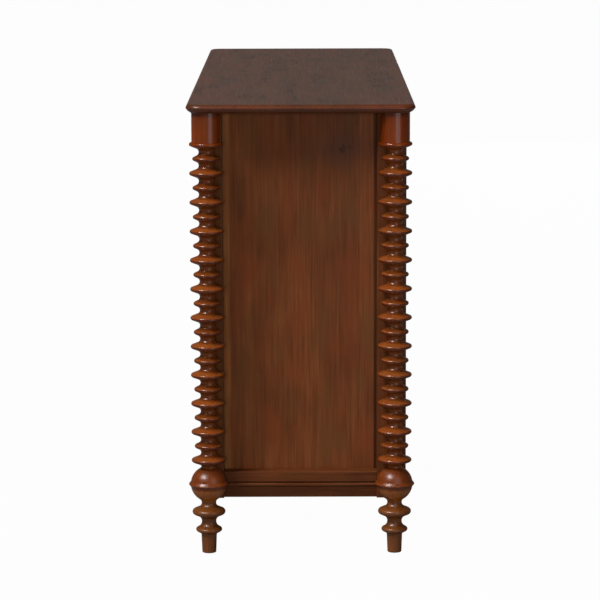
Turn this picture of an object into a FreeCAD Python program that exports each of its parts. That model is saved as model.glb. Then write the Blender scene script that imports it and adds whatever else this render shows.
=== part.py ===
import FreeCAD, Part
import math
import os
from collections import namedtuple
from FreeCAD import Vector

# A six-drawer dresser on four spool-turned corner posts.
# Frame: origin on the floor under the centre, X along the length, front towards -Y, Z up.
# Sizes are millimetres, angles are degrees.

# Overall size
length = 1380.0
depth = 400.0
height = 801.0

# Top board
top_thickness = 15.0
top_lip = 7.0
top_edge_round = 6.8
top_undercut = 9.0
top_undercut_bulge = 1.0
top_corner_radius = 26.0

# Turned posts, from the floor up
post_inset = 35.0
peg_foot_radius = 12.5
peg_top_radius = 13.7
peg_round = 1.5
peg_cove = 3.0
low_foot_disc_height = 42.0
low_foot_disc_radius = 23.2
low_foot_disc_nose = 4.0
low_foot_disc_flank = 60.0
foot_cove = 10.7
high_foot_disc_radius = 29.3
high_foot_disc_nose = 5.5
high_foot_disc_flank = 66.0
foot_neck_radius = 12.8
ball_foot_cove = 7.9
ball_radius = 32.0
ball_flank = 58.0
ridge_radius = 35.0
ridge_half_height = 5.2
ridge_tip_half_height = 1.8
ridge_tip_depth = 1.1
ball_disc_cove = 3.6
neck_radius = 13.2
disc_pitch = 51.1
large_disc_radius = 30.0
large_disc_nose = 3.5
large_disc_flank = 68.0
small_disc_radius = 24.4
small_disc_nose = 3.4
small_disc_flank = 64.0
block_radius = 25.7
block_height = 53.0
block_seat_angle = 59.0

# Case
ball_below_underside = 31.0
stile_setback = 20.0
front_setback = 5.0
back_overhang = 20.5
end_thickness = 15.0
stile_thickness = 25.0
front_stile_width = 21.6
rear_stile_width = 51.7
stile_arris = 2.0
back_thickness = 6.0
back_rebate = 9.0
bottom_thickness = 18.0
partition_thickness = 18.0
rail_thickness = 20.0
rail_width = 60.0
divider_thickness = 18.0

# Base mouldings
moulding_height = 48.2
front_moulding_thickness = 20.0
moulding_arris = 2.5
moulding_bead_radius = 4.0
moulding_bead_height = 23.7
moulding_groove = 1.2
moulding_step = 2.0
moulding_slope = 6.0
ridge_clearance = 1.0

# Drawers
drawer_rows = 3
front_gap = 2.0
front_thickness = 18.0
front_arris = 1.5
side_thickness = 12.0
side_lift = 14.0
side_headroom = 31.0
drawer_back_gap = 21.5
drawer_back_thickness = 12.0
drawer_bottom_thickness = 5.0
drawer_bottom_lift = 10.0
groove_depth = 6.0
groove_play = 0.2

# Turned knobs
knob_radius = 16.0
knob_stem_radius = 8.5
knob_stem_height = 6.0
knob_projection = 22.0
knob_crown = 4.0
knob_rim = 5.0
knob_rim_round = 1.5
knob_inset = 150.0

# Drawer slides
slide_space = 12.7
slide_sheet = 1.5
slide_height = 35.0
slide_flange_gap = 0.7
slide_play = 0.3
slide_front_offset = 3.0
slide_back_offset = 7.0
slide_screw_inset = 35.0

# Screws
screw_radius = 2.0
small_screw_radius = 1.25
screw_head_radius = 4.0
screw_head_height = 2.2
screw_play = 0.1
screw_bite = 12.0
post_screw_bite = 18.0
post_screw_lift = 15.0
post_screw_above_block = 19.0
post_screw_inset = 9.0
joint_screw_bite = 27.0
joint_screw_inset = 12.0
moulding_screw_lift = 10.0
moulding_screw_inset = 29.0
back_screw_bite = 10.0
back_screw_count = 4
slide_screw_bite = 6.5

# Places worked out from the sizes
post_x = length / 2 - post_inset
post_y = depth / 2 - post_inset
top_underside = height - top_thickness
case_x = post_x - stile_setback
panel_x = case_x - stile_thickness
inner_x = panel_x - end_thickness
front_y = -post_y + front_setback
back_y = post_y + back_overhang
inner_back_y = back_y - back_thickness
panel_front_y = front_y + front_stile_width
panel_rear_y = back_y - rear_stile_width

Bead = namedtuple("Bead", "height radius nose flank")
Drawer = namedtuple("Drawer", "name middle_x low_z")


# Heights of the turned beads

def flank_rise(bead, neck):
    """Height from a bead's middle to the point where its flank would meet the neck."""
    angle = math.radians(bead.flank)
    middle = bead.radius - bead.nose
    return (bead.nose + (middle - neck) * math.cos(angle)) / math.sin(angle)


def half_tangent(bead):
    return math.tan(math.radians(bead.flank) / 2)


def raised(bead, lower, neck, cove):
    """The bead at the height where a cove of that radius fits between it and the bead below."""
    straight = flank_rise(lower, neck) + flank_rise(bead, neck)
    rise = straight + cove * (half_tangent(lower) + half_tangent(bead))
    return bead._replace(height=lower.height + rise)


low_foot_disc = Bead(low_foot_disc_height, low_foot_disc_radius, low_foot_disc_nose, low_foot_disc_flank)
high_foot_disc = Bead(0, high_foot_disc_radius, high_foot_disc_nose, high_foot_disc_flank)
high_foot_disc = raised(high_foot_disc, low_foot_disc, foot_neck_radius, foot_cove)
ball = Bead(0, ball_radius, ball_radius, ball_flank)
ball = raised(ball, high_foot_disc, foot_neck_radius, ball_foot_cove)
first_disc = Bead(0, large_disc_radius, large_disc_nose, large_disc_flank)
first_disc = raised(first_disc, ball, neck_radius, ball_disc_cove)
block_bottom = top_underside - block_height
block_seat = math.radians(block_seat_angle)
last_disc_height = block_bottom - large_disc_nose * math.sin(block_seat)

# Heights of the case
underside = ball.height - ball_below_underside
floor_top = underside + moulding_height
floor_low = floor_top - bottom_thickness
rail_low = top_underside - rail_thickness

# Places of the drawers
bay_width = inner_x - partition_thickness / 2
row_height = (rail_low - floor_top - (drawer_rows - 1) * divider_thickness) / drawer_rows
box_half_width = bay_width / 2 - slide_space
box_front_y = front_y + front_thickness
box_back_y = inner_back_y - drawer_back_gap
side_height = row_height - side_lift - side_headroom
slide_front_y = box_front_y + slide_front_offset
slide_back_y = box_back_y - slide_back_offset


def slab(x, y, z):
    """A box from its low and high ends along X, Y and Z."""
    return Part.makeBox(x[1] - x[0], y[1] - y[0], z[1] - z[0], Vector(x[0], y[0], z[0]))


def mirrored(shape):
    """The same piece on the other end of the dresser."""
    return shape.mirror(Vector(0, 0, 0), Vector(1, 0, 0))


def rounded(shape, radius, chosen):
    """Rounds the edges for which chosen(edge) is true."""
    edges = [edge for edge in shape.Edges if chosen(edge)]
    return shape.makeFillet(radius, edges)


def runs_along(edge, axis):
    start = edge.Vertexes[0].Point
    end = edge.Vertexes[-1].Point
    return abs((end - start).normalize().dot(axis)) > 0.999


def save(name, *solids):
    shape = solids[0] if len(solids) == 1 else Part.makeCompound(list(solids))
    shape.exportStep("parts/" + name + ".step")


# Screws

def screw(seat, direction, size, radius=screw_radius, play=0.0):
    """A countersunk screw, its head flush with the face at seat. With play, the hole that it needs."""
    head_radius = radius * screw_head_radius / screw_radius + play
    head_height = screw_head_height * radius / screw_radius
    shank = Part.makeCylinder(radius + play, size + play, seat, direction)
    head = Part.makeCone(head_radius, radius + play, head_height + play, seat, direction)
    return shank.fuse(head).removeSplitter()


def holes(places):
    return [screw(*place, play=screw_play) for place in places]


def drilled(shape, cutters):
    """Cuts those screw holes that reach into the shape."""
    near = [hole for hole in cutters if shape.BoundBox.intersect(hole.BoundBox)]
    return shape.cut(near) if near else shape


def screws(places):
    return [screw(*place) for place in places]


# Turned posts

def point(radius, z):
    return Vector(radius, 0, z)


def nose_end(bead, side):
    """Where the rounded rim of a bead runs into its flank, above (+1) or below (-1)."""
    angle = math.radians(bead.flank)
    middle = bead.radius - bead.nose
    return point(middle + bead.nose * math.cos(angle), bead.height + side * bead.nose * math.sin(angle))


def cove_point(bead, neck, cove, z, side):
    """Where a cove of that radius, centred at height z, runs into the bead's flank on that side."""
    angle = math.radians(bead.flank)
    return point(neck + cove - cove * math.cos(angle), z + side * cove * math.sin(angle))


def valley(lower, upper, neck):
    """The flanks and the cove between two beads, with the cove as round as their distance allows."""
    low_rise = flank_rise(lower, neck)
    spare = upper.height - lower.height - low_rise - flank_rise(upper, neck)
    cove = spare / (half_tangent(lower) + half_tangent(upper))
    middle = lower.height + low_rise + cove * half_tangent(lower)
    low_end = cove_point(lower, neck, cove, middle, -1)
    high_end = cove_point(upper, neck, cove, middle, 1)
    return [
        Part.LineSegment(nose_end(lower, 1), low_end),
        Part.Arc(low_end, point(neck, middle), high_end),
        Part.LineSegment(high_end, nose_end(upper, -1)),
    ]


def rim(bead):
    return [Part.Arc(nose_end(bead, -1), point(bead.radius, bead.height), nose_end(bead, 1))]


def ball_side(side):
    """Three points of the ball's own curve above (+1) or below (-1) the ridge, from flank to ridge."""
    start = math.radians(ball.flank)
    end = math.asin(ridge_half_height / ball.radius)
    return [
        point(ball.radius * math.cos(angle), ball.height + side * ball.radius * math.sin(angle))
        for angle in (start, (start + end) / 2, end)
    ]


def ball_rim():
    """The ball with the thin ridge turned round its middle."""
    low = ball_side(-1)
    high = ball_side(1)
    tip_radius = ridge_radius - ridge_tip_depth
    low_tip = point(tip_radius, ball.height - ridge_tip_half_height)
    high_tip = point(tip_radius, ball.height + ridge_tip_half_height)
    return [
        Part.Arc(*low),
        Part.LineSegment(low[-1], low_tip),
        Part.Arc(low_tip, point(ridge_radius, ball.height), high_tip),
        Part.LineSegment(high_tip, high[-1]),
        Part.Arc(*reversed(high)),
    ]


def peg():
    """The tapered peg that stands on the floor, with the cove up to the lowest disc."""
    disc = low_foot_disc
    top = disc.height - flank_rise(disc, peg_top_radius) - peg_cove * half_tangent(disc)
    cove_end = cove_point(disc, peg_top_radius, peg_cove, top, 1)
    half_angle = math.radians(disc.flank / 2)
    cove_middle = point(
        peg_top_radius + peg_cove - peg_cove * math.cos(half_angle),
        top + peg_cove * math.sin(half_angle),
    )
    bevel = peg_round * (1 - math.sqrt(0.5))
    floor_end = point(peg_foot_radius - peg_round, 0)
    round_end = point(peg_foot_radius, peg_round)
    return [
        Part.LineSegment(point(0, 0), floor_end),
        Part.Arc(floor_end, point(peg_foot_radius - bevel, bevel), round_end),
        Part.LineSegment(round_end, point(peg_top_radius, top)),
        Part.Arc(point(peg_top_radius, top), cove_middle, cove_end),
        Part.LineSegment(cove_end, nose_end(disc, -1)),
    ]


def block(last_disc):
    """The half rim of the last disc, and the plain block above it up to the top board."""
    middle = last_disc.radius - last_disc.nose
    seat = point(middle + last_disc.nose * math.cos(block_seat), block_bottom)
    outline = [seat, point(block_radius, block_bottom), point(block_radius, top_underside)]
    outline += [point(0, top_underside), point(0, 0)]
    lines = [Part.LineSegment(start, end) for start, end in zip(outline, outline[1:])]
    return [Part.Arc(nose_end(last_disc, -1), point(last_disc.radius, last_disc.height), seat)] + lines


def spool_beads():
    """Large and small discs in turn, from the ball up to the block."""
    span = last_disc_height - first_disc.height
    steps = 2 * round(span / disc_pitch)
    beads = []
    for step in range(steps + 1):
        z = first_disc.height + span * step / steps
        if step % 2:
            beads.append(Bead(z, small_disc_radius, small_disc_nose, small_disc_flank))
        else:
            beads.append(first_disc._replace(height=z))
    return beads


def turned_post():
    """One whole post, turned about the Z axis."""
    spool = spool_beads()
    curves = peg() + rim(low_foot_disc)
    curves += valley(low_foot_disc, high_foot_disc, foot_neck_radius) + rim(high_foot_disc)
    curves += valley(high_foot_disc, ball, foot_neck_radius) + ball_rim()
    curves += valley(ball, first_disc, neck_radius)
    for lower, upper in zip(spool, spool[1:]):
        curves += rim(lower) + valley(lower, upper, neck_radius)
    curves += block(spool[-1])
    outline = Part.Wire([curve.toShape() for curve in curves])
    return Part.Face(outline).revolve(Vector(0, 0, 0), Vector(0, 0, 1), 360)


def posts():
    """Right-hand front and rear posts, rebated where they lie over the corners of the case."""
    turned = turned_post()
    case_corner = slab((0, case_x), (front_y, back_y), (underside, top_underside))
    front = turned.translated(Vector(post_x, -post_y, 0)).cut(case_corner)
    rear = turned.translated(Vector(post_x, post_y, 0)).cut(case_corner)
    return front, rear


# Case boards

def top_layer(inset, low_z, high_z):
    """A layer of the top, set back all round by inset, with round corners."""
    half_length = length / 2 - inset
    half_depth = depth / 2 - inset
    board = slab((-half_length, half_length), (-half_depth, half_depth), (low_z, high_z))
    return rounded(board, top_corner_radius - inset, lambda edge: runs_along(edge, Vector(0, 0, 1)))


def top_plan(inset, z):
    """Outline of the top at height z, smaller all round by inset."""
    layer = top_layer(inset, z - top_lip, z)
    faces = [face for face in layer.Faces if face.BoundBox.ZMin > z - 0.001]
    return faces[0].OuterWire


def top_panel():
    """The top board: a rounded lip over an edge that is cut back in two slopes, the lower one flatter."""
    lip_low = height - top_lip
    lip = top_layer(0, lip_low, height)
    edge_round = min(top_edge_round, 0.97 * top_lip)
    lip = rounded(lip, edge_round, lambda edge: edge.BoundBox.ZMin > height - 0.001)
    slope = math.atan2(lip_low - top_underside, top_undercut)
    middle_inset = top_undercut / 2 - top_undercut_bulge * math.sin(slope)
    middle_z = (lip_low + top_underside) / 2 - top_undercut_bulge * math.cos(slope)
    outlines = [top_plan(0, lip_low), top_plan(middle_inset, middle_z), top_plan(top_undercut, top_underside)]
    return lip.fuse(Part.makeLoft(outlines, True, True)).removeSplitter()


def end_panel():
    board = slab((inner_x, panel_x), (front_y, back_y), (underside, top_underside))
    rebate = slab((inner_x, inner_x + back_rebate), (inner_back_y, back_y), (underside, top_underside))
    return board.cut(rebate)


def stile(low_y, high_y, inner_y):
    """An upright of the end frame, proud of the panel, with its edge beside the panel slightly rounded."""
    board = slab((panel_x, case_x), (low_y, high_y), (underside, top_underside))

    def is_arris(edge):
        middle = edge.BoundBox.Center
        return abs(middle.x - case_x) < 0.001 and abs(middle.y - inner_y) < 0.001

    return rounded(board, stile_arris, is_arris)


def front_stile():
    return stile(front_y, panel_front_y, panel_front_y)


def rear_stile():
    return stile(panel_rear_y, back_y, panel_rear_y)


def moulding_outline(face):
    """Section of a base moulding of that thickness: depth out from its back, height above the underside."""
    bead_top = moulding_bead_height + moulding_bead_radius
    bead_low = moulding_bead_height - moulding_bead_radius
    low_face = face - moulding_step
    bead_middle = face - moulding_bead_radius
    turn = moulding_arris * (1 - math.sqrt(0.5))
    groove_top = bead_top + 2 * moulding_groove
    groove_end = (face - moulding_groove, bead_top + moulding_groove)
    arris_low = (face, moulding_height - moulding_arris)
    arris_high = (face - moulding_arris, moulding_height)
    return [
        [(0, 0), (low_face - moulding_slope, 0)],
        [(low_face - moulding_slope, 0), (low_face, bead_low)],
        [(low_face, bead_low), (bead_middle, bead_low)],
        [(bead_middle, bead_low), (face, moulding_bead_height), (bead_middle, bead_top)],
        [(bead_middle, bead_top), groove_end],
        [groove_end, (face, groove_top)],
        [(face, groove_top), arris_low],
        [arris_low, (face - turn, moulding_height - turn), arris_high],
        [arris_high, (0, moulding_height)],
        [(0, moulding_height), (0, 0)],
    ]


def moulding(low_y, high_y, thickness):
    """A run of base moulding along Y, its back at X = 0 and its underside at Z = 0."""
    edges = []
    for stretch in moulding_outline(thickness):
        ends = [Vector(out, low_y, up) for out, up in stretch]
        curve = Part.LineSegment(*ends) if len(ends) == 2 else Part.Arc(*ends)
        edges.append(curve.toShape())
    return Part.Face(Part.Wire(edges)).extrude(Vector(0, high_y - low_y, 0))


def end_base_moulding():
    """The bottom of the end frame, between the stiles and flush with them."""
    run = moulding(panel_front_y, panel_rear_y, stile_thickness)
    return run.translated(Vector(panel_x, 0, underside))


def front_base_rail():
    half = post_x - ridge_radius - ridge_clearance
    run = moulding(-half, half, front_moulding_thickness)
    run = run.rotated(Vector(0, 0, 0), Vector(0, 0, 1), -90)
    return run.translated(Vector(0, front_y, underside))


def back_panel():
    half = inner_x + back_rebate
    return slab((-half, half), (inner_back_y, back_y), (underside, top_underside))


def case_bottom():
    return slab((-inner_x, inner_x), (front_y, inner_back_y), (floor_low, floor_top))


def centre_partition():
    half = partition_thickness / 2
    return slab((-half, half), (front_y, inner_back_y), (floor_top, rail_low))


def top_rail(low_y):
    return slab((-inner_x, inner_x), (low_y, low_y + rail_width), (rail_low, top_underside))


def divider_heights():
    """Undersides of the front rails between the drawer rows."""
    step = row_height + divider_thickness
    return [floor_top + step * row - divider_thickness for row in range(1, drawer_rows)]


def right_divider(low_z):
    inner = partition_thickness / 2
    return slab((inner, inner_x), (front_y, front_y + rail_width), (low_z, low_z + divider_thickness))


# Drawers

def drawers():
    """Every drawer with the middle of its bay and the floor of its row, numbered from the top left."""
    found = []
    step = row_height + divider_thickness
    for row in reversed(range(drawer_rows)):
        for side in (-1, 1):
            middle = side * (partition_thickness + bay_width) / 2
            name = "drawer_%d" % (len(found) + 1)
            found.append(Drawer(name, middle, floor_top + step * row))
    return found


def box_low(drawer):
    return drawer.low_z + side_lift


def slide_middle(drawer):
    return box_low(drawer) + side_height / 2


def drawer_front(drawer):
    half = bay_width / 2 - front_gap
    x = (drawer.middle_x - half, drawer.middle_x + half)
    board = slab(
        x,
        (front_y, box_front_y),
        (drawer.low_z + front_gap, drawer.low_z + row_height - front_gap),
    )
    board = rounded(board, front_arris, lambda edge: abs(edge.BoundBox.Center.y - front_y) < 0.001)
    return board.cut(drawer_bottom(drawer, groove_play))


def drawer_bottom(drawer, play=0.0):
    """The thin floor of the box, let into front and sides. With play, the groove that it needs."""
    half = box_half_width - side_thickness + groove_depth
    low = box_low(drawer) + drawer_bottom_lift
    return slab(
        (drawer.middle_x - half - play, drawer.middle_x + half + play),
        (box_front_y - groove_depth - play, box_back_y),
        (low, low + drawer_bottom_thickness + play),
    )


def drawer_sides(drawer):
    pair = []
    for side in (-1, 1):
        outer = drawer.middle_x + side * box_half_width
        inner = outer - side * side_thickness
        board = slab(
            (min(inner, outer), max(inner, outer)),
            (box_front_y, box_back_y),
            (box_low(drawer), box_low(drawer) + side_height),
        )
        pair.append(board.cut(drawer_bottom(drawer, groove_play)))
    return pair


def drawer_back(drawer):
    half = box_half_width - side_thickness
    low = box_low(drawer) + drawer_bottom_lift + drawer_bottom_thickness + groove_play
    return slab(
        (drawer.middle_x - half, drawer.middle_x + half),
        (box_back_y - drawer_back_thickness, box_back_y),
        (low, box_low(drawer) + side_height),
    )


def knob_places(drawer):
    """Middle of each knob on the face of the drawer front."""
    reach = bay_width / 2 - knob_inset
    z = drawer.low_z + row_height / 2
    return [Vector(drawer.middle_x + side * reach, front_y, z) for side in (-1, 1)]


def turned_knob():
    """A round knob on a short flared stem, turned about Z, with its seat at Z = 0."""
    rim_radius = knob_radius - knob_rim_round
    rim_low = point(rim_radius, knob_projection - knob_crown - knob_rim)
    rim_middle = point(knob_radius, knob_projection - knob_crown - knob_rim / 2)
    rim_high = point(rim_radius, knob_projection - knob_crown)
    stem = point(knob_stem_radius, 0)
    crown_radius = (rim_radius ** 2 + knob_crown ** 2) / (2 * knob_crown)
    half_angle = math.asin(rim_radius / crown_radius) / 2
    crown_middle = point(
        crown_radius * math.sin(half_angle),
        knob_projection - crown_radius * (1 - math.cos(half_angle)),
    )
    crown_top = point(0, knob_projection)
    curves = [
        Part.LineSegment(point(0, 0), stem),
        Part.LineSegment(stem, point(knob_stem_radius, knob_stem_height)),
        Part.LineSegment(point(knob_stem_radius, knob_stem_height), rim_low),
        Part.Arc(rim_low, rim_middle, rim_high),
        Part.Arc(rim_high, crown_middle, crown_top),
        Part.LineSegment(crown_top, point(0, 0)),
    ]
    outline = Part.Wire([curve.toShape() for curve in curves])
    return Part.Face(outline).revolve(Vector(0, 0, 0), Vector(0, 0, 1), 360)


def drawer_knobs(drawer):
    upright = turned_knob()
    facing = upright.rotated(Vector(0, 0, 0), Vector(1, 0, 0), 90)
    return [facing.translated(place) for place in knob_places(drawer)]


# Drawer slides: each is a channel on the case and a smaller one on the drawer, nested with play

def channel(web, half_height, flange, inward):
    """A channel along Y: web X, half its height, how far its flanges reach and which way (+1 or -1)."""
    y = (slide_front_y, slide_back_y)
    back = sorted((web, web + inward * slide_sheet))
    reach = sorted((web, web + inward * flange))
    solid = slab(back, y, (-half_height, half_height))
    for side in (-1, 1):
        z = sorted((side * half_height, side * (half_height - slide_sheet)))
        solid = solid.fuse(slab(reach, y, z))
    return solid.removeSplitter()


def case_channel(drawer, side):
    wall = drawer.middle_x + side * bay_width / 2
    flange = slide_space - slide_sheet - slide_flange_gap
    shape = channel(wall, slide_height / 2, flange, -side)
    return shape.translated(Vector(0, 0, slide_middle(drawer)))


def drawer_channel(drawer, side):
    wall = drawer.middle_x + side * box_half_width
    half_height = slide_height / 2 - slide_sheet - slide_play
    shape = channel(wall, half_height, slide_space - 2 * slide_sheet, side)
    return shape.translated(Vector(0, 0, slide_middle(drawer)))


# Where the screws go: seat of the head, direction, length

def slide_screw_places(drawer, wall, inward):
    """Screws through a channel into the board that it lies on."""
    seat_x = wall - inward * slide_sheet
    size = slide_sheet + slide_screw_bite
    places = []
    for y in (slide_front_y + slide_screw_inset, slide_back_y - slide_screw_inset):
        seat = Vector(seat_x, y, slide_middle(drawer))
        places.append((seat, Vector(inward, 0, 0), size, small_screw_radius))
    return places


def case_slide_screws(drawer):
    places = []
    for side in (-1, 1):
        wall = drawer.middle_x + side * bay_width / 2
        places += slide_screw_places(drawer, wall, side)
    return places


def drawer_slide_screws(drawer):
    places = []
    for side in (-1, 1):
        wall = drawer.middle_x + side * box_half_width
        places += slide_screw_places(drawer, wall, -side)
    return places


def knob_screw_places(drawer):
    inside = Vector(0, front_thickness, 0)
    size = front_thickness + screw_bite
    return [(place + inside, Vector(0, -1, 0), size) for place in knob_places(drawer)]


def drawer_screw_places(drawer):
    return knob_screw_places(drawer) + drawer_slide_screws(drawer)


def right_post_screws():
    """Through the end panel and the stile into the ball and the block of each right-hand post."""
    ball_z = underside + post_screw_lift
    block_z = block_bottom + post_screw_above_block
    size = end_thickness + stile_thickness + post_screw_bite
    places = []
    for y in (front_y + post_screw_inset, post_y):
        for z in (ball_z, block_z):
            places.append((Vector(inner_x, y, z), Vector(1, 0, 0), size))
    return places


def moulding_screw_ends():
    """Front and rear places of the screws behind an end moulding."""
    return panel_front_y + moulding_screw_inset, panel_rear_y - moulding_screw_inset


def right_joint_screws():
    """From the face of the right end panel, under the stiles and moulding, into rails and bottom."""
    inward = Vector(-1, 0, 0)
    heights = [z + divider_thickness / 2 for z in divider_heights()]
    rail_middle = rail_low + rail_thickness / 2
    seats = [Vector(panel_x, front_y + joint_screw_inset, z) for z in heights + [rail_middle]]
    seats.append(Vector(panel_x, inner_back_y - joint_screw_inset, rail_middle))
    floor_middle = (floor_low + floor_top) / 2
    first, last = moulding_screw_ends()
    for y in (first, (first + last) / 2, last):
        seats.append(Vector(panel_x, y, floor_middle))
    return [(seat, inward, end_thickness + joint_screw_bite) for seat in seats]


def right_moulding_screws():
    """From inside the right end panel into the back of the base moulding."""
    z = underside + moulding_screw_lift
    size = end_thickness + screw_bite
    return [(Vector(inner_x, y, z), Vector(1, 0, 0), size) for y in moulding_screw_ends()]


def right_back_screws():
    """Through the back panel into the rebate of the right end panel."""
    x = inner_x + back_rebate / 2
    step = (top_underside - underside) / back_screw_count
    size = back_thickness + back_screw_bite
    seats = [Vector(x, back_y, underside + step * (count + 0.5)) for count in range(back_screw_count)]
    return [(seat, Vector(0, -1, 0), size, small_screw_radius) for seat in seats]


def right_top_screws():
    """Up through the two top rails into the top board."""
    middle = (partition_thickness + bay_width) / 2
    size = rail_thickness + screw_bite
    places = []
    for y in rail_lows():
        for x in (middle - bay_width / 4, middle + bay_width / 4):
            seat = Vector(x, y + rail_width / 2, rail_low)
            places.append((seat, Vector(0, 0, 1), size))
    return places


def rail_lows():
    """Front edges of the front and rear top rails."""
    return [front_y, inner_back_y - rail_width]


def other_end(places):
    """The same screws on the left-hand end."""
    flip = []
    for seat, direction, *rest in places:
        seat = Vector(-seat.x, seat.y, seat.z)
        direction = Vector(-direction.x, direction.y, direction.z)
        flip.append((seat, direction, *rest))
    return flip


def case_screw_places(all_drawers):
    right = right_post_screws() + right_joint_screws() + right_moulding_screws()
    right += right_back_screws() + right_top_screws()
    places = right + other_end(right)
    for drawer in all_drawers:
        places += case_slide_screws(drawer)
    return places


# All the pieces

def save_pair(name, shape, cutters):
    """A right-hand piece and its mirror image in one node."""
    save(name, drilled(mirrored(shape), cutters), drilled(shape, cutters))


def save_ends(name, shape, cutters):
    """A right-hand piece and its mirror image, each in its own node."""
    save(name + "_left", drilled(mirrored(shape), cutters))
    save(name + "_right", drilled(shape, cutters))


def save_case(all_drawers):
    places = case_screw_places(all_drawers)
    cutters = holes(places)
    front_post, rear_post = posts()
    save("top_panel", drilled(top_panel(), cutters))
    save_ends("post_front", front_post, cutters)
    save_ends("post_rear", rear_post, cutters)
    save_ends("end_panel", end_panel(), cutters)
    save_pair("front_stiles", front_stile(), cutters)
    save_pair("rear_stiles", rear_stile(), cutters)
    save_pair("end_base_mouldings", end_base_moulding(), cutters)
    save("front_base_rail", front_base_rail())
    save("back_panel", drilled(back_panel(), cutters))
    save("case_bottom", drilled(case_bottom(), cutters))
    save("centre_partition", drilled(centre_partition(), cutters))
    save("top_rails", *[drilled(top_rail(low_y), cutters) for low_y in rail_lows()])
    right = [right_divider(z) for z in divider_heights()]
    dividers = right + [mirrored(shape) for shape in right]
    save("drawer_dividers", *[drilled(shape, cutters) for shape in dividers])
    channels = [case_channel(drawer, side) for drawer in all_drawers for side in (-1, 1)]
    save("slide_case_members", *[drilled(shape, cutters) for shape in channels])
    save("case_screws", *screws(places))


def save_drawer(drawer):
    places = drawer_screw_places(drawer)
    cutters = holes(places)
    save(drawer.name + "_front", drilled(drawer_front(drawer), cutters))
    save(drawer.name + "_sides", *[drilled(shape, cutters) for shape in drawer_sides(drawer)])
    save(drawer.name + "_back", drawer_back(drawer))
    save(drawer.name + "_bottom", drawer_bottom(drawer))
    save(drawer.name + "_knobs", *[drilled(shape, cutters) for shape in drawer_knobs(drawer)])
    save(drawer.name + "_slides", *[drilled(drawer_channel(drawer, side), cutters) for side in (-1, 1)])
    save(drawer.name + "_screws", *screws(places))


os.makedirs("parts", exist_ok=True)
every_drawer = drawers()
save_case(every_drawer)
for one_drawer in every_drawer:
    save_drawer(one_drawer)
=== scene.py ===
import math

import bpy
from mathutils import Matrix, Vector


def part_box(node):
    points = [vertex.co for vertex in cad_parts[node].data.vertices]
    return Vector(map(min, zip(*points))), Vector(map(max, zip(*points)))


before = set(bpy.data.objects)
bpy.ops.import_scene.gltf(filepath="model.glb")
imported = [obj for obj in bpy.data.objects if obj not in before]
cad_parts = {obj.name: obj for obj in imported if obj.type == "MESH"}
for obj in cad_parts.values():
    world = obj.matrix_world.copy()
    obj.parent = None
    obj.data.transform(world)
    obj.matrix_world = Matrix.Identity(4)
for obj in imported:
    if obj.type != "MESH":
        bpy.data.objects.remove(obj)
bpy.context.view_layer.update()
scene = bpy.context.scene

# Camera, fitted to the outline of the top and the discs of the posts in a 600 by 600 frame
image_width = 600
focal_pixels = 2894.515
sensor_width = 36.0
camera_place = Vector((5.683499, 0.008327, 1.254322))
camera_yaw = 0.0020503
camera_pitch = 0.1577754
camera_roll = -0.0030631
camera_reach = 200.0

# Places on the object that the woods follow, in metres
post_low, post_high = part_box("post_front_right")
post_x = (post_low[0] + post_high[0]) / 2
post_y = abs(post_low[1] + post_high[1]) / 2
lip_radius = 0.021
neck_radius = 0.0132
block_low = 0.727
ball_high = 0.150
ball_low = 0.0935
ball_middle = (ball_low + ball_high) / 2
bead_height = 0.115
panel_low, panel_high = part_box("end_panel_right")
knot_place = (panel_high[0], 0.0735, 0.7165)
rail_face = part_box("top_rails")[0][1]
top_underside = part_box("top_panel")[0][2]
top_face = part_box("top_panel")[1][2]

# Boards of an end panel: where each begins across the panel, in metres, and its tone; the first two tones
# also hold painted light over the shade of the front stile and post, and the last narrow strip is a painted
# shadow beside the rear stile
pale_board = 0.1042
board_tones_and_painted_light = ((panel_low[1], 1.80), (-0.1268, 1.18), (-0.0898, 1.02), (-0.035, 1.0), (0.030, 0.97),
                (pale_board, 1.22), (0.1276, 0.52))
board_joint = 0.0005

# End panel: heights over which the pale boards fade and a painted shade deepens towards the top, and by how
# much
fade_heights = (0.50, 0.25)
fade_amount = 0.25
painted_shade_heights = (0.14, 0.66)
painted_shade_share = 0.93

# Knot: its stretch and ragged edge, and the radii of its halo and heart in metres, with their strength
knot_stretch = (1.0, 0.75, 1.1)
knot_scale = 90.0
knot_ragged = 0.012
halo_radii = (0.044, 0.008)
halo_strength = 0.50
heart_radii = (0.007, 0.001)
heart_strength = 0.6

# Painted shade in the corner under the top: where it begins and is full, in metres below it, and the share it
# leaves
corner_start = 0.010
corner_full = 0.002
corner_shade_share = 0.45

# Posts: soft edges between tones in metres, and the slopes, as the upward part of the normal, between which
# the lips of the discs get painted shade on their downward-facing side
tone_edge = 0.003
ball_line = (0.004, 0.007)
peg_edge = 0.002
lip_edge = 0.002
lip_upper = (0.55, 0.15)
lip_lower = (-0.90, -0.70)
lip_shade_strength = 0.9
# Painted shade in the necks between the discs: how far it reaches from the neck, in metres, and its strength
groove_reach = (0.008, 0.002)
neck_shade_strength = 0.4

# Moulding and rail under the top: depth of the painted shade below the bead and of the stained skin, in
# metres
band_fade = 0.006
band_shade_strength = 0.15
stained_skin = (0.0012, 0.0006)

# Staves of the top board, in metres, how far the rows are shifted, and their tones
stave_length = 0.62
stave_width = 0.043
stave_shift = 0.37
stave_tones = (0.92, 1.08)

# Flecks, patches and rounded edge of the top board
mark_squeeze = (0.22, 1.0, 1.0)
group_scale = 24.0
group_range = (0.55, 0.62)
mark_scale = 140.0
mark_range = (0.49, 0.58)
mark_strength = 0.8
patch_scale = 9.0
patch_range = (0.56, 0.70)
patch_strength = 0.5
edge_depths = (0.0002, 0.0012)
edge_strength = 0.8

# Figure of the woods: squeeze along the grain, shift between boards and scales of the noise per metre
grain_squeeze = 0.03
patch_squeeze = 0.45
board_shift = (7.0, 13.0, 5.0)
broad_scale = 26.0
band_scale = 110.0
streak_scale = 300.0
pore_scale = 1500.0
hue_scale = 22.0

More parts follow.
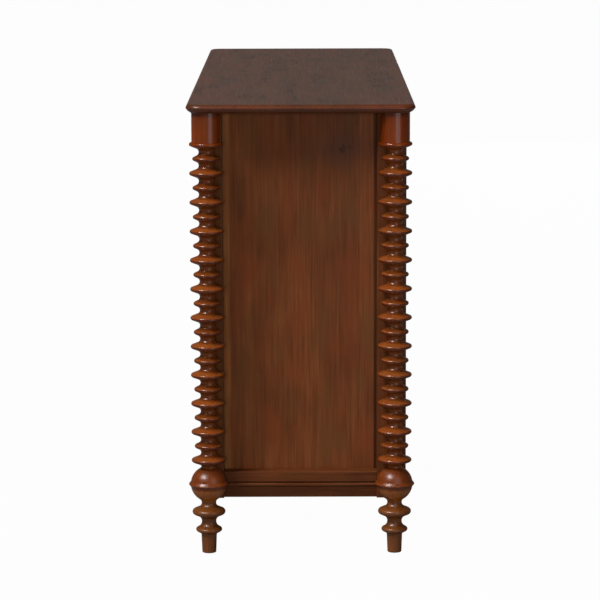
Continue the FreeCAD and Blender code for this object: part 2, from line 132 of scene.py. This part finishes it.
# Weights of the layers of the figure, and the ranges of the noise that they use
broad_weight = 0.27
band_weight = 0.25
streak_weight = 0.48
hue_strength = 0.7
fleck_strength = 0.3
tone_range = (0.34, 0.66)
red_range = (0.52, 0.68)
olive_range = (0.48, 0.32)
fleck_range = (0.60, 0.72)
streak_range = (0.3, 0.7)

# Surface of the woods: roughness on both sides of the finish, the worn feet and the relief
gloss_under = 0.04
gloss_over = 0.06
worn_dullness = 0.10
worn_edge = 0.003
streak_height = 0.5
fleck_depth = 0.8
relief_strength = 0.10
relief_depth = 0.0003

# Steel: lines of the rolling, mottled plating, roughness and relief
rolling_squeeze = 0.04
rolling_scale = 700.0
rolling_range = (0.3, 0.7)
mottle_scale = 60.0
dull_plating = 0.72
steel_roughness = (0.28, 0.42)
steel_metallic = 0.7
rolling_strength = 0.1
rolling_depth = 0.0002

# Finishes of the woods: roughness and level of the reflection
satin = (0.36, 0.22)
polished = (0.22, 0.68)
top_polish = (0.30, 0.72)
lacquer = (0.48, 0.25)
thin_lacquer = (0.52, 0.25)

# Studio: the point that the lights face, and levels as a share of white
aim_point = Vector((0.62, 0.0, 0.42))
ambient_level = 0.035
backdrop_top = math.sin(math.radians(7.0))
backdrop_fade = math.sin(math.radians(18.0))
backdrop_reflected = 0.165
backdrop_core = 0.25
backdrop_edge = 0.55
floor_reach = 60.0
floor_bounce = 0.12
floor_white = 0.98
floor_reflected = 0.02
fill_distance = 7.0

# Lights: name, bearing and rise in degrees, distance, width and height in metres, level, seen in reflections
lights = (
    ("light_overhead", -62.0, 67.0, 11.0, 3.0, 3.0, 0.70, False),
    ("light_front_high", -40.0, 46.0, 11.0, 7.0, 3.0, 0.08, True),
    ("light_front_core", -47.0, 47.0, 10.8, 4.2, 1.8, 0.62, True),
    ("light_side_strip", 27.7, 7.4, 1.15, 0.60, 1.1, 0.135, True),
    ("fill_camera_side", -3.0, 7.0, fill_distance, 1.4, 1.4, 0.26, False),
    ("fill_left_end", 165.0, 7.0, fill_distance, 2.2, 2.2, 0.50, False),
    ("fill_drawer_side", -115.0, 7.0, fill_distance, 2.2, 2.2, 0.15, False),
    ("fill_back", 125.0, 7.0, fill_distance, 2.2, 2.2, 0.08, False),
)


def linear(red, green, blue):
    """A colour given as 0 to 255 in a picture, as linear light."""
    steps = []
    for value in (red, green, blue):
        part = value / 255.0
        if part <= 0.04045:
            steps.append(part / 12.92)
        else:
            steps.append(((part + 0.055) / 1.055) ** 2.4)
    return (steps[0], steps[1], steps[2], 1.0)


# Tones of the woods, from dark to light, then red and olive
stained_tones = (linear(82, 43, 18), linear(103, 55, 27), linear(124, 69, 36), linear(111, 54, 25),
                 linear(97, 59, 29))
moulding_tones = (linear(69, 34, 14), linear(88, 45, 20), linear(107, 57, 28), linear(87, 47, 20),
                  linear(86, 49, 20))
# The front stiles: an olive tone, also made lighter as painted light where the posts shade them
olive_stile_tones_with_painted_light = (linear(72, 39, 16), linear(92, 51, 24), linear(111, 64, 32), linear(91, 53, 24),
               linear(90, 56, 24))
turned_tones = (linear(101, 47, 14), linear(123, 61, 20), linear(139, 72, 27), linear(124, 57, 18),
                linear(116, 61, 22))
top_tones = (linear(61, 34, 16), linear(74, 42, 21), linear(87, 51, 27), linear(80, 42, 21),
             linear(70, 43, 22))
plain_tones = (linear(152, 112, 70), linear(186, 145, 98), linear(204, 166, 118), linear(190, 142, 88),
               linear(178, 144, 98))
plywood_tones = (linear(120, 82, 48), linear(146, 104, 64), linear(162, 120, 78), linear(148, 100, 56),
                 linear(138, 102, 62))

# Colours of single features, and tints that multiply the colour under them
# Painted shade on the downward-facing lips of the discs
lip_shade_colour = linear(82, 31, 8)
# Painted shade in the necks between the discs
neck_shade_colour = linear(78, 33, 6)
halo_colour = linear(80, 50, 42)
knot_colour = linear(48, 26, 20)
# Painted shade on the lower band of the moulding, under its bead
low_band_shade_colour = linear(50, 26, 14)
mark_colour = linear(40, 21, 13)
patch_colour = linear(85, 43, 26)
slide_colour = linear(190, 190, 188)
screw_colour = linear(170, 165, 152)
white = (1.0, 1.0, 1.0, 1.0)
black = (0.0, 0.0, 0.0, 1.0)
block_tint = (0.79, 0.52, 0.03, 1.0)
ball_tint = (0.71, 0.61, 0.48, 1.0)
# Painted light: the lower half of each ball is made lighter, standing in for light from the floor
under_ball_painted_light = (1.45, 1.75, 1.50, 1.0)
peg_tint = (0.75, 0.88, 0.98, 1.0)
olive_tint = (0.90, 1.12, 1.15, 1.0)
stain_tint = (0.26, 0.126, 0.089, 1.0)
edge_tint = (1.38, 0.92, 0.70, 1.0)


class Shader:
    """A material or world tree under construction."""

    def __init__(self, owner):
        owner.use_nodes = True
        self.tree = owner.node_tree

    def put(self, node, key, value):
        """Set an input to a value, or link it to a socket."""
        if isinstance(value, bpy.types.NodeSocket):
            self.tree.links.new(value, node.inputs[key])
        else:
            node.inputs[key].default_value = value

    def add(self, kind, inputs=None, **settings):
        node = self.tree.nodes.new("ShaderNode" + kind)
        for key, value in settings.items():
            setattr(node, key, value)
        for key, value in (inputs or {}).items():
            self.put(node, key, value)
        return node

    def math(self, operation, first, second=0.0, clamp=False):
        node = self.add("Math", {0: first, 1: second}, operation=operation, use_clamp=clamp)
        return node.outputs[0]

    def plus(self, first, second):
        return self.math("ADD", first, second)

    def minus(self, first, second):
        return self.math("SUBTRACT", first, second)

    def times(self, first, second):
        return self.math("MULTIPLY", first, second)

    def vector(self, operation, first, second):
        node = self.add("VectorMath", {0: first, 1: second}, operation=operation)
        return node.outputs[0]

    def length(self, vector):
        return self.add("VectorMath", {0: vector}, operation="LENGTH").outputs["Value"]

    def split(self, vector):
        """The X, Y and Z parts of a place or a direction."""
        return self.add("SeparateXYZ", {0: vector}).outputs

    def noise(self, place, scale, detail=2.0, roughness=0.5, distortion=0.0):
        node = self.add("TexNoise", {"Vector": place, "Scale": scale, "Detail": detail,
                                     "Roughness": roughness, "Distortion": distortion})
        return node.outputs["Fac"]

    def spread(self, value, low, high, to_low=0.0, to_high=1.0):
        """Carry a range of values over to another range, and hold it at both ends."""
        node = self.add("MapRange", {"Value": value, "From Min": low, "From Max": high,
                                     "To Min": to_low, "To Max": to_high})
        return node.outputs["Result"]

    def scale(self, colour, factor):
        return self.add("VectorMath", {0: colour, "Scale": factor}, operation="SCALE").outputs[0]

    def blend(self, factor, first, second, mode="MIX"):
        node = self.add("Mix", data_type="RGBA", blend_type=mode)
        self.put(node, 0, factor)
        self.put(node, 6, first)
        self.put(node, 7, second)
        return node.outputs[2]

    def tinted(self, share, colour, tint):
        """The colour, multiplied by a tint as far as the share goes."""
        return self.blend(share, colour, self.blend(1.0, colour, tint, "MULTIPLY"))

    def relief(self, surface, height, strength, distance):
        """Raise a surface a little by a height, for light alone."""
        bump = self.add("Bump", {"Height": height, "Strength": strength, "Distance": distance})
        self.put(surface, "Normal", bump.outputs["Normal"])


def grain_place(shader, axis, squeeze):
    """Coordinates in metres, and the same shifted from board to board and squeezed along the grain."""
    object_place = shader.add("TexCoord").outputs["Object"]
    chance = shader.add("ObjectInfo").outputs["Random"]
    shifts = {number: shader.times(chance, reach) for number, reach in enumerate(board_shift)}
    factors = [1.0, 1.0, 1.0]
    factors["XYZ".index(axis)] = squeeze
    shifted = shader.vector("ADD", object_place, shader.add("CombineXYZ", shifts).outputs[0])
    return object_place, shader.vector("MULTIPLY", shifted, factors)


def wood(name, axis, tones, finish, *changes, dull_below=0.0):
    """Wood with its grain along one axis, changed by each of the changes and duller below a height."""
    dark, middle, light, red, olive = tones
    gloss, shine = finish
    material = bpy.data.materials.new(name)
    shader = Shader(material)
    place, along = grain_place(shader, axis, grain_squeeze)
    patches = grain_place(shader, axis, patch_squeeze)[1]
    broad = shader.noise(patches, broad_scale, 1.0, 0.4)
    bands = shader.noise(along, band_scale, 2.0, 0.55, 0.3)
    streaks = shader.noise(along, streak_scale, 3.0, 0.6, 0.2)
    pores = shader.noise(along, pore_scale, 1.0, 0.5)
    tone = shader.plus(shader.times(broad, broad_weight), shader.times(bands, band_weight))
    tone = shader.plus(tone, shader.times(streaks, streak_weight))
    ramp = shader.add("ValToRGB", {"Fac": shader.spread(tone, *tone_range)})
    ramp.color_ramp.elements[0].color = dark
    ramp.color_ramp.elements[1].color = light
    ramp.color_ramp.elements.new(0.5).color = middle
    hue = shader.noise(patches, hue_scale, 2.0, 0.5)
    colour = shader.blend(shader.spread(hue, *red_range, 0.0, hue_strength), ramp.outputs["Color"], red)
    colour = shader.blend(shader.spread(hue, *olive_range, 0.0, hue_strength), colour, olive)
    flecks = shader.spread(pores, *fleck_range, 0.0, fleck_strength)
    colour = shader.blend(flecks, colour, dark)
    for change in changes:
        colour = change(shader, place, colour)
    surface = shader.tree.nodes["Principled BSDF"]
    shader.put(surface, "Base Color", colour)
    height = shader.split(place)["Z"]
    worn = shader.spread(height, dull_below + worn_edge, dull_below - worn_edge, 0.0, worn_dullness)
    polish = shader.spread(streaks, *streak_range, gloss - gloss_under, gloss + gloss_over)
    shader.put(surface, "Roughness", shader.plus(polish, worn))
    surface.inputs["Specular IOR Level"].default_value = shine
    ridges = shader.minus(shader.times(streaks, streak_height), shader.times(flecks, fleck_depth))
    shader.relief(surface, ridges, relief_strength, relief_depth)
    return material


def painted_shade_under_top(shader, height):
    """The painted shade in the corner under the top, as a factor of the colour."""
    return shader.spread(height, top_underside - corner_start, top_underside - corner_full, 1.0, corner_shade_share)


def board_and_painted_light_levels(shader, across):
    """The tone of each board of an end panel, with painted light on the first two and a painted shadow strip
    at the rear stile, as a factor of the colour.
    """
    width = panel_high[1] - panel_low[1]
    ramp = shader.add("ValToRGB", {"Fac": across})
    ramp.color_ramp.interpolation = "CONSTANT"
    for number, (edge, lighter) in enumerate(board_tones_and_painted_light):
        share = (edge - panel_low[1]) / width
        if number < 2:
            stop = ramp.color_ramp.elements[number]
            stop.position = share
        else:
            stop = ramp.color_ramp.elements.new(share)
        half = lighter / 2
        stop.color = (half, half, half, 1.0)
    return shader.spread(ramp.outputs["Color"], 0.0, 1.0, 0.0, 2.0)


def panel_figure(shader, place, colour):
    """Glued upright boards of different tones, with painted shade deepening towards the top and under it; the
    pale rear ones fade lower down.
    """
    parts = shader.split(place)
    factor = board_and_painted_light_levels(shader, shader.spread(parts["Y"], panel_low[1], panel_high[1]))
    rear = shader.spread(parts["Y"], pale_board, pale_board + board_joint)
    low = shader.spread(parts["Z"], *fade_heights)
    fade = shader.times(shader.times(rear, low), fade_amount)
    painted_shade = shader.spread(parts["Z"], *painted_shade_heights, 1.0, painted_shade_share)
    painted_shade = shader.times(painted_shade, painted_shade_under_top(shader, parts["Z"]))
    factor = shader.times(shader.minus(factor, fade), painted_shade)
    first_end = board_tones_and_painted_light[1][0]
    first = shader.spread(parts["Y"], first_end, first_end - board_joint)
    return shader.scale(shader.tinted(first, colour, olive_tint), factor)


def panel_knot(shader, place, colour):
    """A small ragged knot with a greyer halo, which one of the two end panels has near its top."""
    away = shader.vector("MULTIPLY", shader.vector("SUBTRACT", place, knot_place), knot_stretch)
    ragged = shader.spread(shader.noise(place, knot_scale), 0.3, 0.7, -knot_ragged, knot_ragged)
    radius = shader.plus(shader.length(away), ragged)
    colour = shader.blend(shader.spread(radius, *halo_radii, 0.0, halo_strength), colour, halo_colour)
    return shader.blend(shader.spread(radius, *heart_radii, 0.0, heart_strength), colour, knot_colour)


def post_radius(shader, parts):
    """The distance from the axis of whichever post it is."""
    from_x = shader.minus(shader.math("ABSOLUTE", parts["X"]), post_x)
    from_y = shader.minus(shader.math("ABSOLUTE", parts["Y"]), post_y)
    return shader.length(shader.add("CombineXYZ", {0: from_x, 1: from_y}).outputs[0])


def post_tones(shader, place, colour):
    """A darker block under the top, golden discs with painted shade on the downward-facing lips, in the necks
    and under the top, a red ball whose lower half is made lighter as painted light, and a brown foot.
    """
    parts = shader.split(place)
    height = parts["Z"]
    radius = post_radius(shader, parts)
    block = shader.spread(height, block_low - tone_edge, block_low + tone_edge)
    foot = shader.spread(height, ball_high + tone_edge, ball_high - tone_edge)
    low_half = shader.spread(height, ball_middle - ball_line[0], ball_middle - ball_line[1])
    peg = shader.spread(height, ball_low + peg_edge, ball_low - peg_edge)
    spool = shader.minus(shader.minus(1.0, foot), block)
    facing_up = shader.split(shader.add("NewGeometry").outputs["Normal"])["Z"]
    lip_shade = shader.spread(radius, lip_radius - lip_edge, lip_radius)
    lip_shade = shader.times(lip_shade, shader.spread(facing_up, *lip_upper))
    lip_shade = shader.times(lip_shade, shader.spread(facing_up, *lip_lower))
    lip_shade = shader.times(lip_shade, spool)
    colour = shader.blend(shader.times(lip_shade, lip_shade_strength), colour, lip_shade_colour)
    colour = shader.scale(colour, painted_shade_under_top(shader, height))
    neck_shade = shader.spread(radius, neck_radius + groove_reach[0], neck_radius + groove_reach[1], 0.0,
                           neck_shade_strength)
    colour = shader.blend(shader.times(neck_shade, spool), colour, neck_shade_colour)
    colour = shader.tinted(block, colour, block_tint)
    colour = shader.tinted(shader.minus(foot, low_half), colour, ball_tint)
    colour = shader.tinted(shader.minus(low_half, peg), colour, under_ball_painted_light)
    return shader.tinted(peg, colour, peg_tint)


def shade_below_bead(shader, place, colour):
    """Painted shade on the lower band of the moulding, a little darker than the fascia above its bead."""
    height = shader.split(place)["Z"]
    low_band_shade = shader.spread(height, bead_height, bead_height - band_fade, 0.0, band_shade_strength)
    return shader.blend(low_band_shade, colour, low_band_shade_colour)


def stained_face(shader, place, colour):
    """The front face of the rail under the top, stained like the drawer fronts."""
    depth = shader.split(place)["Y"]
    face = shader.spread(depth, rail_face + stained_skin[0], rail_face + stained_skin[1])
    return shader.tinted(face, colour, stain_tint)


def top_staves(shader, place, colour):
    """Staves of the top board, each a little lighter or darker than the next."""
    sizes = {"Scale": 1.0, "Mortar Size": 0.0, "Brick Width": stave_length, "Row Height": stave_width}
    staves = shader.add("TexBrick", {"Vector": place, "Color1": black, "Color2": white, **sizes},
                        offset=stave_shift)
    return shader.scale(colour, shader.spread(staves.outputs["Color"], 0.0, 1.0, *stave_tones))


def top_figure(shader, place, colour):
    """Groups of short dark flecks and a few reddish patches."""
    along = shader.vector("MULTIPLY", place, mark_squeeze)
    groups = shader.spread(shader.noise(along, group_scale, 1.0), *group_range)
    marks = shader.spread(shader.noise(along, mark_scale, 2.0, 0.6), *mark_range)
    marks = shader.times(shader.times(groups, marks), mark_strength)
    colour = shader.blend(marks, colour, mark_colour)
    patch = shader.spread(shader.noise(along, patch_scale, 1.0), *patch_range, 0.0, patch_strength)
    return shader.blend(patch, colour, patch_colour)


def top_edge(shader, place, colour):
    """The rounded edge, which took more of the red stain than the flat face."""
    height = shader.split(place)["Z"]
    edge = shader.spread(height, top_face - edge_depths[0], top_face - edge_depths[1], 0.0, edge_strength)
    return shader.tinted(edge, colour, edge_tint)


def metal(name, colour):
    """Zinc plated steel with the faint lines of the rolling and a mottled plating."""
    material = bpy.data.materials.new(name)
    shader = Shader(material)
    place, along = grain_place(shader, "Y", rolling_squeeze)
    lines = shader.noise(along, rolling_scale, 2.0, 0.5)
    mottle = shader.noise(place, mottle_scale, 3.0, 0.6)
    dull = tuple(value * dull_plating for value in colour[:3]) + (1.0,)
    surface = shader.tree.nodes["Principled BSDF"]
    shader.put(surface, "Base Color", shader.blend(mottle, dull, colour))
    shader.put(surface, "Roughness", shader.spread(lines, *rolling_range, *steel_roughness))
    surface.inputs["Metallic"].default_value = steel_metallic
    shader.relief(surface, lines, rolling_strength, rolling_depth)
    return material


# Materials, each with the axis that its grain follows
stile_wood = wood("stile_wood", "Z", olive_stile_tones_with_painted_light, satin)
stained_z = wood("stained_wood_upright", "Z", moulding_tones, satin)
stained_x = wood("stained_wood_lengthwise", "X", stained_tones, satin)
moulding_wood = wood("moulding_wood", "Y", moulding_tones, satin, shade_below_bead)
panel_wood = wood("panel_wood", "Z", stained_tones, satin, panel_figure, panel_knot)
post_wood = wood("turned_post_wood", "Z", turned_tones, polished, post_tones, dull_below=ball_high)
knob_wood = wood("turned_knob_wood", "Y", turned_tones, polished)
top_wood = wood("top_wood", "X", top_tones, top_polish, top_staves, top_figure, top_edge)
plain_x = wood("plain_wood_lengthwise", "X", plain_tones, lacquer)
rail_wood = wood("rail_wood", "X", plain_tones, lacquer, stained_face)
plain_y = wood("plain_wood_crosswise", "Y", plain_tones, lacquer)
plywood = wood("plywood", "X", plywood_tones, thin_lacquer)
slide_steel = metal("slide_steel", slide_colour)
screw_steel = metal("screw_steel", screw_colour)

# Materials of single nodes, and of drawer pieces by the ending of their names
node_materials = {
    "top_panel": top_wood,
    "top_rails": rail_wood,
    "front_base_rail": stained_x,
    "drawer_dividers": stained_x,
    "front_stiles": stile_wood,
    "end_base_mouldings": moulding_wood,
    "end_panel_left": panel_wood,
    "end_panel_right": panel_wood,
    "back_panel": plywood,
    "case_bottom": plywood,
    "slide_case_members": slide_steel,
    "case_screws": screw_steel,
}
ending_materials = {
    "_front": stained_x,
    "_knobs": knob_wood,
    "_sides": plain_y,
    "_back": plain_x,
    "_bottom": plywood,
    "_slides": slide_steel,
    "_screws": screw_steel,
}


def material_for(name):
    """The material of a node by its name, or upright stained wood where none is given."""
    if name in node_materials:
        return node_materials[name]
    if name.startswith("post_"):
        return post_wood
    if name.startswith("drawer_"):
        for ending, material in ending_materials.items():
            if name.endswith(ending):
                return material
    return stained_z


def direction(bearing, rise):
    """The way to a bearing from +X and a rise above the floor, both in degrees."""
    bearing = math.radians(bearing)
    rise = math.radians(rise)
    return Vector((math.cos(rise) * math.cos(bearing), math.cos(rise) * math.sin(bearing), math.sin(rise)))


def area_light(name, bearing, rise, distance, width, height, level, reflected):
    """A softbox turned to the object; level is the light on a facing surface as a share of white."""
    data = bpy.data.lights.new(name, "AREA")
    data.shape = "RECTANGLE"
    data.size = width
    data.size_y = height
    data.energy = level * math.pi * math.pi * distance * distance
    lamp = bpy.data.objects.new(name, data)
    lamp.visible_camera = False
    lamp.visible_glossy = reflected
    scene.collection.objects.link(lamp)
    towards = direction(bearing, rise)
    lamp.location = aim_point + towards * distance
    lamp.rotation_euler = towards.to_track_quat("Z", "Y").to_euler()


def seen_rays(shader, reflected_share):
    """One for rays from the camera and through glass, a share for reflected ones, nought for the rest."""
    path = shader.add("LightPath")
    reflected = shader.times(path.outputs["Is Glossy Ray"], reflected_share)
    seen = shader.math("ADD", path.outputs["Is Camera Ray"], reflected, True)
    return shader.math("ADD", seen, path.outputs["Is Transmission Ray"], True)


def studio_world():
    """A dim studio with a backdrop that is white near the horizon, fainter and narrower in reflections."""
    world = bpy.data.worlds.new("studio")
    shader = Shader(world)
    parts = shader.split(shader.add("TexCoord").outputs["Generated"])
    backdrop = shader.spread(parts["Z"], backdrop_top, backdrop_fade, 1.0, ambient_level)
    aside = shader.math("ABSOLUTE", parts["Y"])
    sheet = shader.spread(aside, backdrop_edge, backdrop_core, 0.0, backdrop_reflected)
    strength = shader.add("Mix", {0: seen_rays(shader, sheet), 2: ambient_level, 3: backdrop}).outputs[0]
    background = shader.tree.nodes["Background"]
    background.inputs["Color"].default_value = white
    shader.put(background, "Strength", strength)
    scene.world = world


def floor_material():
    """Pale floor, white where it is seen apart from a faint shadow."""
    material = bpy.data.materials.new("floor")
    shader = Shader(material)
    seen = seen_rays(shader, floor_reflected)
    surface = shader.tree.nodes["Principled BSDF"]
    surface.inputs["Base Color"].default_value = (floor_bounce, floor_bounce, floor_bounce, 1.0)
    surface.inputs["Roughness"].default_value = 0.9
    surface.inputs["Specular IOR Level"].default_value = 0.0
    glow = shader.add("Emission", {"Color": white, "Strength": 1.0})
    mixed = shader.add("MixShader", {0: shader.times(seen, floor_white), 1: surface.outputs[0],
                                     2: glow.outputs[0]})
    shader.put(shader.tree.nodes["Material Output"], "Surface", mixed.outputs[0])
    return material


def add_floor():
    """A wide level floor, which belongs to the stage and not to the part."""
    corners = [(-floor_reach, -floor_reach, 0), (floor_reach, -floor_reach, 0),
               (floor_reach, floor_reach, 0), (-floor_reach, floor_reach, 0)]
    mesh = bpy.data.meshes.new("floor")
    mesh.from_pydata(corners, [], [(0, 1, 2, 3)])
    mesh.materials.append(floor_material())
    floor = bpy.data.objects.new("floor", mesh)
    scene.collection.objects.link(floor)


def add_camera():
    """The camera of the photo, from its place, yaw, pitch and roll."""
    data = bpy.data.cameras.new("camera")
    data.sensor_width = sensor_width
    data.sensor_fit = "HORIZONTAL"
    data.lens = focal_pixels / image_width * sensor_width
    data.clip_end = camera_reach
    camera = bpy.data.objects.new("camera", data)
    scene.collection.objects.link(camera)
    forward = Vector((-math.cos(camera_yaw) * math.cos(camera_pitch),
                      -math.sin(camera_yaw) * math.cos(camera_pitch),
                      -math.sin(camera_pitch)))
    sideways = Vector((-math.sin(camera_yaw), math.cos(camera_yaw), 0.0))
    upward = sideways.cross(forward)
    right = sideways * math.cos(camera_roll) + upward * math.sin(camera_roll)
    up = upward * math.cos(camera_roll) - sideways * math.sin(camera_roll)
    turn = Matrix((right, up, -forward)).transposed().to_4x4()
    camera.matrix_world = Matrix.Translation(camera_place) @ turn
    scene.camera = camera


for name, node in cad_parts.items():
    for slot in node.material_slots:
        slot.material = material_for(name)
for light in lights:
    area_light(*light)
studio_world()
add_floor()
add_camera()
scene.view_settings.view_transform = "Standard"
